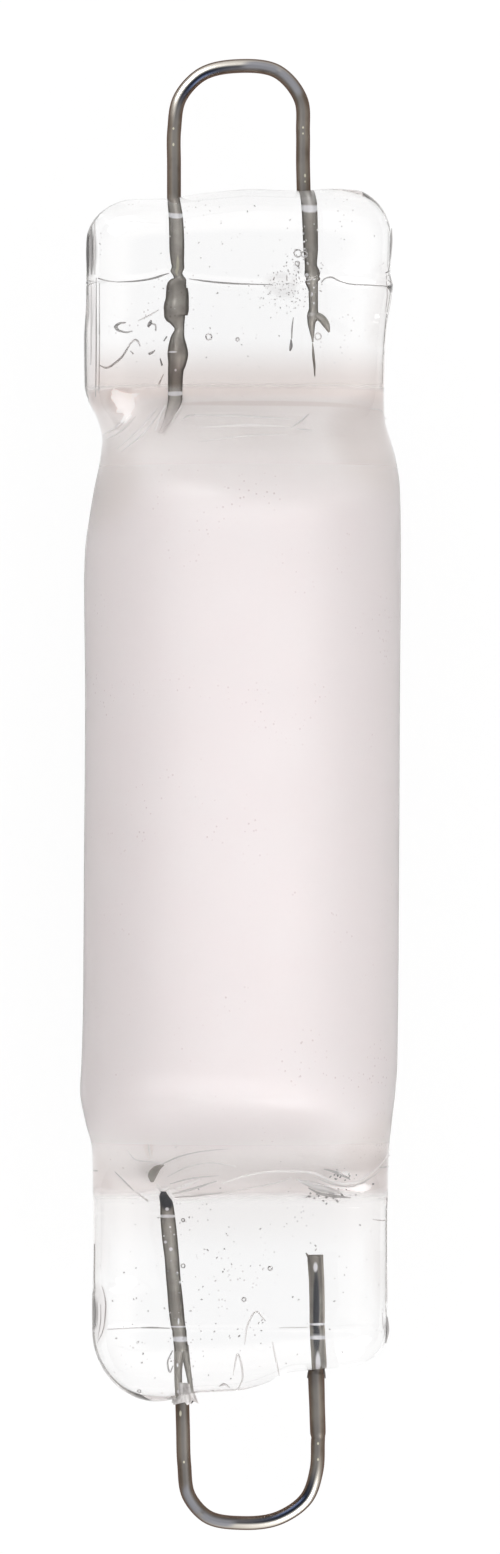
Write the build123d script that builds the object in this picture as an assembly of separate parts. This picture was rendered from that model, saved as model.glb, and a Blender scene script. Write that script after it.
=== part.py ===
from build123d import *
import math
import os

# A frosted lamp in a glass tube, pressed flat at both ends round a stiff wire loop.
# It lies on its side along Y, on the plane Z = 0, with both flat seals level.
# All sizes are in millimetres. "Left" is -X and "right" is +X.

# Whole lamp
overall_length = 44.12  # over the two wire loops; the straight tube takes what the ends leave
wire_diameter = 0.42
tube_width = 9.46  # across the flat of the seals
tube_ovality = 0.3  # how much less it is the other way, so that the lamp lies still
tube_wall = 0.8

# Pressed seals, the same at both ends
seal_thickness = 2.8  # where the jaws pressed the glass
lip_thickness = 3.1  # past the jaws
jaw_step_length = 0.35
lip_tip_thickness = 0.5  # left flat between the rounded edges of the end
lip_corner_length = 1.45  # along the lamp
slit_thickness = 0.3  # where the chamber runs out between the two pressed walls
chamber_corner = 0.9

# Upper end of the glass, in stretches along the lamp from the straight tube outwards
upper_neck_length = 3.6
upper_flare_length = 1.65
upper_press_length = 3.1
upper_shoulder_length = 3.6  # over which the tube is drawn flat
upper_lip_length = 2.6
upper_waist_left = 4.18  # distances of the two edges from the axis
upper_seal_left = 4.70
upper_seal_right = 4.29
upper_lip_left = 4.67
upper_lip_right = 4.56
upper_corner_left = 1.9  # how far each corner draws in
upper_corner_right = 1.1
upper_end_slant = 1.6  # degrees, the right side longer
upper_chamber_stop = 0.5  # glass between the chamber's tip and the full seal width

# Lower end of the glass
lower_bulge_length = 1.2
lower_neck_length = 1.9
lower_shoulder_length = 3.1  # over which the tube is drawn flat
lower_press_length = 3.95
lower_lip_length = 1.85
lower_bulge_left = 4.84
lower_bulge_right = 4.64
lower_seal_left = 4.47
lower_seal_right = 4.41
lower_corner_left = 2.2
lower_corner_right = 1.3
lower_end_slant = 7.5  # degrees, the left side longer
lower_chamber_stop = 0.4

# Upper wire loop
upper_loop_rise = 4.075  # from the end of the glass to the top of the crown
upper_long_leg = 2.0  # leg positions, left or right of the axis
upper_short_leg = 1.77
upper_short_lean = 2.0  # degrees, outwards into the glass
upper_wide_bend = 1.75
upper_tight_bend = 1.3
upper_crown_slope = 5.5  # degrees
upper_lead_reach = 1.3  # into the chamber
upper_short_depth = 2.85  # inside the glass, to where the torn end starts
first_knot_depth = 3.1  # from the end of the glass to the weld knots
first_knot_length = 1.3
first_knot_width = 0.78
second_knot_depth = 5.0
second_knot_length = 1.1
second_knot_width = 0.62
second_knot_offset = 0.06  # towards the middle of the lamp
short_knot_depth = 2.5
short_knot_length = 0.65
short_knot_width = 0.64
knot_tip_width = 0.26  # the ends of a knot run out inside the wire
torn_neck_length = 0.8
torn_neck_width = 0.3
torn_bead_width = 0.36  # where the torn end splits into two tines
tine_length = 0.75
tine_width = 0.26
tine_tip_width = 0.12
inner_tine_angle = 2.0  # degrees from the leg
outer_tine_angle = 32.0

# Lower wire loop
lower_loop_rise = 4.3
lower_long_leg = 1.69
lower_long_lean = 1.7  # degrees, outside the glass
lower_lead_lean = 4.2  # degrees, inside the glass
lower_short_leg = 2.29
lower_short_lean = 1.0
lower_wide_bend = 1.8
lower_tight_bend = 1.35
lower_crown_slope = 2.0
lower_exit_bend = 6.0
lower_lead_reach = 1.0
lower_short_depth = 4.0
collar_length = 0.3  # glass drawn out along the long leg
collar_width = 1.05
collar_tip_width = 0.74

# Distances along the axis that several pieces share
tube_depth = tube_width - tube_ovality
axis_height = tube_depth / 2
crown_y = overall_length / 2 - wire_diameter / 2
upper_end_y = overall_length / 2 - upper_loop_rise
upper_lip_y = upper_end_y - lip_corner_length
upper_jaw_y = upper_end_y - upper_lip_length
upper_seal_y = upper_jaw_y - upper_press_length
upper_waist_y = upper_seal_y - upper_flare_length
upper_body_y = upper_waist_y - upper_neck_length
upper_shoulder_y = upper_seal_y - upper_shoulder_length
upper_chamber_y = upper_seal_y - upper_chamber_stop
upper_narrowing_y = upper_shoulder_y - tube_wall / 2
lower_end_y = lower_loop_rise - overall_length / 2
lower_lip_y = lower_end_y + lip_corner_length
lower_jaw_y = lower_end_y + lower_lip_length
lower_seal_y = lower_jaw_y + lower_press_length
lower_bulge_y = lower_seal_y + lower_shoulder_length
lower_neck_y = lower_bulge_y - lower_neck_length
lower_body_y = lower_bulge_y + lower_bulge_length
lower_chamber_y = lower_seal_y + lower_chamber_stop

# Shape of a cross-section: how far its four curves reach towards the corners
round_reach = 0.5523
flat_reach_across = 0.92
flat_reach_through = 0.78


def eased(y, stations):
    """Value at y, gliding with no slope at each of the (y, value) stations."""
    if y <= stations[0][0]:
        return stations[0][1]
    for (y0, v0), (y1, v1) in zip(stations, stations[1:]):
        if y <= y1:
            t = (y - y0) / (y1 - y0)
            return v0 + (v1 - v0) * t * t * (3 - 2 * t)
    return stations[-1][1]


def cross_section(y, left, right, half_depth, flatness, slant=0.0):
    """Closed section across the axis, from a round tube (flatness 0) to a pressed slab (1)."""
    half = (left + right) / 2
    across = half * (round_reach + (flat_reach_across - round_reach) * flatness)
    through = half_depth * (round_reach + (flat_reach_through - round_reach) * flatness)
    quarters = []
    for sx, sz in ((1, 1), (-1, 1), (-1, -1), (1, -1)):
        side = (sx * half, 0)
        top = (0, sz * half_depth)
        bends = ((sx * half, sz * through), (sx * across, sz * half_depth))
        if sx == sz:
            quarters.append(Bezier(side, *bends, top))
        else:
            quarters.append(Bezier(top, *reversed(bends), side))
    turn = math.radians(slant)
    plane = Plane(
        origin=((right - left) / 2, y, axis_height),
        x_dir=(math.cos(turn), math.sin(turn), 0),
        z_dir=(math.sin(turn), -math.cos(turn), 0),
    )
    return plane * make_face(quarters)


def left_edge_at(y):
    return eased(y, [
        (lower_neck_y, lower_seal_left),
        (lower_bulge_y, lower_bulge_left),
        (lower_body_y, tube_width / 2),
        (upper_body_y, tube_width / 2),
        (upper_waist_y, upper_waist_left),
        (upper_seal_y, upper_seal_left),
        (upper_jaw_y, upper_lip_left),
    ])


def right_edge_at(y):
    return eased(y, [
        (lower_neck_y, lower_seal_right),
        (lower_bulge_y, lower_bulge_right),
        (lower_body_y, tube_width / 2),
        (upper_shoulder_y, tube_width / 2),
        (upper_seal_y, upper_seal_right),
        (upper_jaw_y, upper_lip_right),
    ])


def half_depth_at(y):
    return eased(y, [
        (lower_jaw_y - jaw_step_length, lip_thickness / 2),
        (lower_jaw_y, seal_thickness / 2),
        (lower_seal_y, seal_thickness / 2),
        (lower_bulge_y, tube_depth / 2),
        (upper_shoulder_y, tube_depth / 2),
        (upper_seal_y, seal_thickness / 2),
        (upper_jaw_y, seal_thickness / 2),
        (upper_jaw_y + jaw_step_length, lip_thickness / 2),
    ])


def flatness_at(y):
    return eased(y, [
        (lower_seal_y, 1),
        (lower_bulge_y, 0),
        (upper_shoulder_y, 0),
        (upper_seal_y, 1),
    ])


def glass_section(y):
    return cross_section(y, left_edge_at(y), right_edge_at(y), half_depth_at(y), flatness_at(y))


def lofted_run(start, stop, count, section_at):
    """Loft of evenly spaced sections from the wider end, count of them after the first."""
    return loft([section_at(start + (stop - start) * i / count) for i in range(count + 1)])


def rounded_lip(start_y, end_y, corner_left, corner_right, slant):
    """End of a seal: its corners and its thickness draw in on arcs to a narrow flat tip."""
    sections = []
    edge_round = half_depth_at(start_y) - lip_tip_thickness / 2
    for angle in (0, 22.5, 45, 67.5, 90):
        sine = math.sin(math.radians(angle))
        drawn_in = 1 - math.cos(math.radians(angle))
        sections.append(cross_section(
            start_y + (end_y - start_y) * sine,
            left_edge_at(start_y) - corner_left * drawn_in,
            right_edge_at(start_y) - corner_right * drawn_in,
            half_depth_at(start_y) - edge_round * drawn_in,
            1,
            slant * sine,
        ))
    return loft(sections)


def envelope_outside():
    """Outer glass: lip, jaw step, pressed seal and shoulder at each end of a straight tube."""
    outside = rounded_lip(
        lower_lip_y, lower_end_y, lower_corner_left, lower_corner_right, lower_end_slant
    )
    outside += rounded_lip(
        upper_lip_y, upper_end_y, upper_corner_left, upper_corner_right, upper_end_slant
    )
    runs = [
        (lower_lip_y, lower_jaw_y, 2),
        (lower_jaw_y, lower_seal_y, 1),
        (lower_bulge_y, lower_seal_y, 7),
        (lower_bulge_y, lower_body_y, 4),
        (lower_body_y, upper_body_y, 1),
        (upper_body_y, upper_shoulder_y, 4),
        (upper_shoulder_y, upper_waist_y, 4),
        (upper_waist_y, upper_seal_y, 4),
        (upper_seal_y, upper_jaw_y, 2),
        (upper_jaw_y, upper_jaw_y + jaw_step_length, 2),
        (upper_jaw_y + jaw_step_length, upper_lip_y, 1),
    ]
    for start, stop, count in runs:
        outside += lofted_run(start, stop, count, glass_section)
    return outside


def chamber_section(y):
    """Hollow inside the tube wall, narrowing to a slit towards each seal."""
    half = eased(y, [
        (lower_chamber_y, slit_thickness / 2),
        (lower_bulge_y, tube_depth / 2 - tube_wall),
        (upper_narrowing_y, tube_depth / 2 - tube_wall),
        (upper_chamber_y, slit_thickness / 2),
    ])
    side_wall = tube_wall + eased(y, [
        (lower_chamber_y, chamber_corner),
        (lower_bulge_y, 0),
        (upper_narrowing_y, 0),
        (upper_chamber_y, chamber_corner),
    ])
    return cross_section(y, left_edge_at(y) - side_wall, right_edge_at(y) - side_wall, half, 0)


def chamber():
    """Hollow of the tube, which runs out between the pressed walls of each seal."""
    hollow = lofted_run(lower_bulge_y, lower_chamber_y, 7, chamber_section)
    hollow += lofted_run(lower_bulge_y, lower_body_y, 4, chamber_section)
    hollow += lofted_run(lower_body_y, upper_body_y, 1, chamber_section)
    hollow += lofted_run(upper_body_y, upper_narrowing_y, 3, chamber_section)
    hollow += lofted_run(upper_narrowing_y, upper_chamber_y, 7, chamber_section)
    return hollow


def crown_corner(bend, slope):
    """Height of a bend's corner point above the highest point of the wire's centre line."""
    turn = math.radians(slope)
    return bend * (math.tan(turn) + 1 / math.cos(turn) - 1)


def bent_wire(points, bends):
    """Round wire along straight runs in the middle plane of the seals, joined by arcs."""
    path = FilletPolyline(*[(x, y, axis_height) for x, y in points], radius=bends)
    start = Plane(path @ 0, z_dir=path % 0)
    return sweep(start * Circle(wire_diameter / 2), path=path)


def tapered(x, y, angle, length, width, tip_width):
    """Round taper from (x, y) into the glass, turned outwards from -Y by angle degrees."""
    turn = math.radians(angle)
    plane = Plane((x, y, axis_height), z_dir=(math.sin(turn), -math.cos(turn), 0))
    bottom = (Align.CENTER, Align.CENTER, Align.MIN)
    return plane * Cone(width / 2, tip_width / 2, length, align=bottom)


def weld_knot(x, y, length, width):
    """Lump of melted metal on a leg, thickest in its middle."""
    inner_half = tapered(x, y, 0, length / 2, width, knot_tip_width)
    outer_half = tapered(x, y, 180, length / 2, width, knot_tip_width)
    return inner_half + outer_half


def upper_short_x(y):
    """Place of the upper short leg, which leans outwards on its way into the glass."""
    return upper_short_leg + (crown_y - y) * math.tan(math.radians(upper_short_lean))


def make_upper_loop():
    wide_y = crown_y + crown_corner(upper_wide_bend, upper_crown_slope)
    span = upper_long_leg + upper_short_leg
    tight_y = wide_y - span * math.tan(math.radians(upper_crown_slope))
    short_y = upper_end_y - upper_short_depth
    wire = bent_wire(
        [
            (-upper_long_leg, upper_chamber_y - upper_lead_reach),
            (-upper_long_leg, wide_y),
            (upper_short_x(tight_y), tight_y),
            (upper_short_x(short_y), short_y),
        ],
        [upper_wide_bend, upper_tight_bend],
    )
    wire += weld_knot(
        -upper_long_leg, upper_end_y - first_knot_depth, first_knot_length, first_knot_width
    )
    wire += weld_knot(
        -upper_long_leg + second_knot_offset,
        upper_end_y - second_knot_depth,
        second_knot_length,
        second_knot_width,
    )
    knot_y = upper_end_y - short_knot_depth
    wire += weld_knot(upper_short_x(knot_y), knot_y, short_knot_length, short_knot_width)
    wire += tapered(
        upper_short_x(short_y), short_y, upper_short_lean,
        torn_neck_length, wire_diameter, torn_neck_width,
    )
    root_y = short_y - torn_neck_length
    wire += Pos(upper_short_x(root_y), root_y, axis_height) * Sphere(torn_bead_width / 2)
    for angle in (inner_tine_angle, outer_tine_angle):
        wire += tapered(
            upper_short_x(root_y), root_y, angle, tine_length, tine_width, tine_tip_width
        )
    return wire


def lower_long_x(y):
    """Place of the lower long leg: a slight lean outside the glass and a stronger one inside."""
    outside = min(y, lower_end_y) + crown_y
    inside = max(y - lower_end_y, 0)
    return -(
        lower_long_leg
        + outside * math.tan(math.radians(lower_long_lean))
        + inside * math.tan(math.radians(lower_lead_lean))
    )


def lower_short_x(y):
    return lower_short_leg - (y + crown_y) * math.tan(math.radians(lower_short_lean))


def make_lower_loop():
    wide_y = -crown_y - crown_corner(lower_wide_bend, lower_crown_slope)
    span = lower_long_leg + lower_short_leg
    tight_y = wide_y + span * math.tan(math.radians(lower_crown_slope))
    inner_y = lower_chamber_y + lower_lead_reach
    short_y = lower_end_y + lower_short_depth
    return bent_wire(
        [
            (lower_long_x(inner_y), inner_y),
            (lower_long_x(lower_end_y), lower_end_y),
            (lower_long_x(tight_y), tight_y),
            (lower_short_x(wide_y), wide_y),
            (lower_short_x(short_y), short_y),
        ],
        [lower_exit_bend, lower_tight_bend, lower_wide_bend],
    )


def exit_collar():
    """Glass that was drawn out along the lower long leg when the seal was pressed."""
    foot_x = lower_long_x(lower_end_y)
    foot_y = lower_end_y - foot_x * math.tan(math.radians(-lower_end_slant))
    return tapered(
        foot_x, foot_y + collar_length, 0, 2 * collar_length, collar_width, collar_tip_width
    )


upper_loop = make_upper_loop()
lower_loop = make_lower_loop()
glass_envelope = envelope_outside() - chamber() + exit_collar() - upper_loop - lower_loop

os.makedirs("parts", exist_ok=True)
pieces = {
    "glass_envelope": glass_envelope,
    "upper_loop": upper_loop,
    "lower_loop": lower_loop,
}
for name, piece in pieces.items():
    export_step(piece, f"parts/{name}.step")
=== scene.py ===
import math
import random
from functools import reduce
import bpy
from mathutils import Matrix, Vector


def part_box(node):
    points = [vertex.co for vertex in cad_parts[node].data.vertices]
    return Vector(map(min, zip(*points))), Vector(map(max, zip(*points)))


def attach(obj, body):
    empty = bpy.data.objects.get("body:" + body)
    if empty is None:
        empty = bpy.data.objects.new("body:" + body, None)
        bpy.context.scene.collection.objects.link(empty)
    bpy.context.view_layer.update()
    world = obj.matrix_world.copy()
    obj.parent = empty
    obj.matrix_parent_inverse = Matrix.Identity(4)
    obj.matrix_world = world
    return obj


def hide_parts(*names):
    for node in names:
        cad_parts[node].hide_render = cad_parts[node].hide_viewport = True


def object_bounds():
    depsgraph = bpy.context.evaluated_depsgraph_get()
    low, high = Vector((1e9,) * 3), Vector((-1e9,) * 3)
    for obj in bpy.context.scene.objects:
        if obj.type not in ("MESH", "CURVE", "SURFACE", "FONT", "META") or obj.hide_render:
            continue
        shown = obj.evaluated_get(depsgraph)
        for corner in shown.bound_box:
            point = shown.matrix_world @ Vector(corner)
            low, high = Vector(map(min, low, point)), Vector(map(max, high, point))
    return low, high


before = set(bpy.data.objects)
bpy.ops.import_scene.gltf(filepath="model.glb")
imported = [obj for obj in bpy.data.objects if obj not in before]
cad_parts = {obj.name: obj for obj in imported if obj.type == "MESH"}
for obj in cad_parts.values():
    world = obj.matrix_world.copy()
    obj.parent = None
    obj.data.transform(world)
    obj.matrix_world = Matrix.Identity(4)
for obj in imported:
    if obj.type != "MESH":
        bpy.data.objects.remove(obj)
cadLow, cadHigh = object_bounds()
glassLow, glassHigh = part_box("glass_envelope")

# The photograph's grid, laid over the frame: rows run down the lamp, columns across it
photo = {
    "width": 500,
    "height": 1554,
    "topRow": 58.9,  # outermost rows of the two wire loops
    "bottomRow": 1529.5,
    "axisColumn": 241.5,
}
pixel = (cadHigh.y - cadLow.y) / (photo["bottomRow"] - photo["topRow"])
middleRow = photo["topRow"] + cadHigh.y / pixel
axisZ = (glassLow.z + glassHigh.z) / 2


def across(column):
    return (column - photo["axisColumn"]) * pixel


def along(row):
    return (middleRow - row) * pixel


def spot(column, row, lift=0.0):  # lift is in pixels above the middle plane of the seals
    return Vector((across(column), along(row), axisZ + lift * pixel))


def between(start, stop, share):
    return start + (stop - start) * share


def smooth(low, high, value):
    t = min(max((value - low) / (high - low), 0.0), 1.0)
    return t * t * (3 - 2 * t)


def bump(away, width):
    return math.exp(-(away / width) ** 2)


# Place on a curve from start to stop, with the speed at which it leaves and arrives
def curve(start, stop, leaving, arriving, t):
    return (
        start * (1 + 2 * t) * (1 - t) ** 2
        + stop * t * t * (3 - 2 * t)
        + leaving * t * (1 - t) ** 2
        - arriving * t * t * (1 - t)
    )


# Smooth curve through (place, value) stations, with no overshoot between them
def glide(at, stations):
    if at <= stations[0][0]:
        return stations[0][1]
    if at >= stations[-1][0]:
        return stations[-1][1]
    rises = [(b[1] - a[1]) / (b[0] - a[0]) for a, b in zip(stations, stations[1:])]
    slopes = [0.0]
    for before, after in zip(rises, rises[1:]):
        slopes.append(0.0 if before * after <= 0 else 2 * before * after / (before + after))
    slopes.append(0.0)
    for i, (start, stop) in enumerate(zip(stations, stations[1:])):
        if at <= stop[0]:
            gap = stop[0] - start[0]
            return curve(start[1], stop[1], gap * slopes[i], gap * slopes[i + 1], (at - start[0]) / gap)


# Evenly stepped smooth line through a few points
def smoothRoute(points, step):
    stops = [Vector(point) for point in points]
    gaps = [(b - a).length for a, b in zip(stops, stops[1:])]
    runs = [(b - a) / gap for a, b, gap in zip(stops, stops[1:], gaps)]
    headings = [runs[0]]
    for before, after, gap, nextGap in zip(runs, runs[1:], gaps, gaps[1:]):
        headings.append((before * nextGap + after * gap) / (gap + nextGap))
    headings.append(runs[-1])
    route = []
    for i, gap in enumerate(gaps):
        count = max(round(gap / step), 1)
        leaving, arriving = headings[i] * gap, headings[i + 1] * gap
        for k in range(count):
            route.append(curve(stops[i], stops[i + 1], leaving, arriving, k / count))
    return route + [stops[-1]]


def selectOnly(*pieces):  # the last one is made active
    bpy.ops.object.select_all(action="DESELECT")
    for piece in pieces:
        piece.select_set(True)
        bpy.context.view_layer.objects.active = piece


def setMark(piece, name, values):  # one number for each point, for the piece's material
    mark = piece.data.attributes.new(name, "FLOAT", "POINT")
    mark.data.foreach_set("value", values)


# A closed tube of rings, cut from a cylinder; place(ring, angle) says where each point goes
def ringedTube(name, sides, rings, place, merge, marks=()):
    selectOnly()
    bpy.ops.mesh.primitive_cylinder_add(
        vertices=sides, radius=1, depth=1, end_fill_type="NOTHING", location=(0, 0, 0)
    )
    tube = bpy.context.object
    tube.name = name
    bpy.ops.object.mode_set(mode="EDIT")
    bpy.ops.mesh.select_mode(type="EDGE")
    bpy.ops.mesh.select_all(action="DESELECT")
    bpy.ops.object.mode_set(mode="OBJECT")
    for edge in tube.data.edges:
        low, high = (tube.data.vertices[v].co.z for v in edge.vertices)
        edge.select = low * high < 0  # the edges along the tube
    bpy.ops.object.mode_set(mode="EDIT")
    bpy.ops.mesh.subdivide_edgering(number_cuts=rings - 2, interpolation="LINEAR")
    bpy.ops.object.mode_set(mode="OBJECT")
    stops = []
    for vertex in tube.data.vertices:
        ring = round((vertex.co.z + 0.5) * (rings - 1))
        angle = math.atan2(vertex.co.y, vertex.co.x)
        vertex.co = place(ring, angle)
        stops.append((ring, angle))
    for markName, find in marks:
        setMark(tube, markName, [find(ring, angle) for ring, angle in stops])
    # close the ends, drop doubled points and turn the faces outwards
    selectOnly(tube)
    bpy.ops.object.mode_set(mode="EDIT")
    bpy.ops.mesh.select_mode(type="VERT")
    bpy.ops.mesh.select_all(action="SELECT")
    bpy.ops.mesh.remove_doubles(threshold=merge * pixel)
    bpy.ops.mesh.select_all(action="SELECT")
    bpy.ops.mesh.fill_holes(sides=0)
    bpy.ops.mesh.select_all(action="SELECT")
    bpy.ops.mesh.normals_make_consistent(inside=False)
    bpy.ops.object.mode_set(mode="OBJECT")
    bpy.ops.object.shade_smooth()
    return tube


def joinInto(piece, others):
    selectOnly(*others, piece)
    bpy.ops.object.join()


def finishPiece(piece, material, node=None):
    piece.data.materials.clear()
    piece.data.materials.append(material)
    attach(piece, "root")
    if node:
        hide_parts(node)
    print("made", piece.name, len(piece.data.polygons), "faces")


# Shader helpers: each adds its nodes to the tree in hand; the masks read its x, y and z
def newMaterial(name):
    material = bpy.data.materials.new(name)
    material.use_nodes = True
    return material, material.node_tree


def addNode(kind, **settings):
    node = tree.nodes.new("ShaderNode" + kind)
    for key, value in settings.items():
        setattr(node, key, value)
    return node


def feed(socket, value):  # another node's output is linked; a number or a colour is set
    if isinstance(value, bpy.types.NodeSocket):
        tree.links.new(value, socket)
    else:
        socket.default_value = value


def setInputs(node, **values):
    for key, value in values.items():
        feed(node.inputs[key.replace("_", " ")], value)


def setSurface(**values):
    setInputs(tree.nodes["Principled BSDF"], **values)


def combine(operation, *values):
    node = addNode("Math", operation=operation)
    for socket, value in zip(node.inputs, values):
        feed(socket, value)
    return node.outputs[0]


def times(*values):
    return reduce(lambda first, second: combine("MULTIPLY", first, second), values)


def most(*values):
    return reduce(lambda first, second: combine("MAXIMUM", first, second), values)


def ranged(value, low, high, first, last, kind="SMOOTHSTEP"):
    node = addNode("MapRange", interpolation_type=kind)
    setInputs(node, Value=value, From_Min=low, From_Max=high, To_Min=first, To_Max=last)
    return node.outputs[0]


def shared(mask, first, last):  # first where the mask is 0, last where it is 1
    return ranged(mask, 0.0, 1.0, first, last, "LINEAR")


def stepMask(value, start, stop):  # 0 at start, 1 at stop
    if start < stop:
        return ranged(value, start, stop, 0.0, 1.0)
    return ranged(value, stop, start, 1.0, 0.0)


def rowMask(*spans):  # 0 at the first row of each span, 1 at its last
    return times(*[stepMask(y, along(start), along(stop)) for start, stop in spans])


def blendColour(mask, first, second, kind="MIX"):
    node = addNode("Mix", data_type="RGBA", blend_type=kind)
    for socket, value in ((0, mask), (6, first), (7, second)):
        feed(node.inputs[socket], value)
    return node.outputs[2]


def coated(finish, colour, *coats):  # each coat is a mask and the name of its colour in the finish
    for mask, coat in coats:
        colour = blendColour(mask, colour, finish[coat])
    return colour


def readPlace(kind="Object"):  # the whole place, then its X, Y and Z
    place = addNode("TexCoord").outputs[kind]
    axes = addNode("SeparateXYZ")
    feed(axes.inputs[0], place)
    return place, axes.outputs["X"], axes.outputs["Y"], axes.outputs["Z"]


def readMark(name):
    return addNode("Attribute", attribute_name=name).outputs["Fac"]


def grain(place, scale, detail=3.0):
    texture = addNode("TexNoise")
    setInputs(texture, Vector=place, Scale=scale, Detail=detail)
    return texture.outputs["Fac"]


def patchMask(place, scale, start, stop, detail=3.0):
    return stepMask(grain(place, scale, detail), start, stop)


def relief(height, strength, distance):
    node = addNode("Bump")
    setInputs(node, Height=height, Strength=strength, Distance=distance)
    return node.outputs[0]


def newGroup(name, *inputs):
    group = bpy.data.node_groups.new(name, "ShaderNodeTree")
    for given in inputs:
        group.interface.new_socket(given, in_out="INPUT", socket_type="NodeSocketFloat")
    group.interface.new_socket("Mask", in_out="OUTPUT", socket_type="NodeSocketFloat")
    return group, group.nodes.new("NodeGroupInput"), group.nodes.new("NodeGroupOutput")


def placeGroup(group, **values):
    node = addNode("Group", node_tree=group)
    setInputs(node, **values)
    return node.outputs["Mask"]


# Group that marks a soft band round one place of a value: 1 in the middle, 0 past the half width
tree, given, result = newGroup("soft_band", "Value", "Centre", "Half Width")
bandGroup, bandCore = tree, 0.35  # up to the core the mask is 1
away = combine("ABSOLUTE", combine("SUBTRACT", given.outputs["Value"], given.outputs["Centre"]))
away = combine("DIVIDE", away, given.outputs["Half Width"])
setInputs(result, Mask=stepMask(away, 1.0, bandCore))

# Group that marks a soft round or long spot on the lamp, seen from above
tree, given, result = newGroup("soft_spot", "X", "Y", "Centre X", "Centre Y", "Half X", "Half Y")
spotGroup, spotCore = tree, 0.25
squares = []
for axis in ("X", "Y"):
    away = combine("SUBTRACT", given.outputs[axis], given.outputs["Centre " + axis])
    away = combine("DIVIDE", away, given.outputs["Half " + axis])
    squares.append(times(away, away))
setInputs(result, Mask=stepMask(combine("ADD", *squares), 1.0, spotCore))


def bandMask(value, centre, halfWidth):
    return placeGroup(bandGroup, Value=value, Centre=centre, Half_Width=halfWidth)


def spotsMask(spots, share=1.0):  # (column, row, half width, half length) of each
    masks = []
    for column, row, halfWidth, halfLength in spots:
        masks.append(placeGroup(
            spotGroup, X=x, Y=y, Centre_X=across(column), Centre_Y=along(row),
            Half_X=halfWidth * pixel, Half_Y=halfLength * pixel,
        ))
    return times(most(*masks), share) if share < 1 else most(*masks)


# Glass

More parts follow.
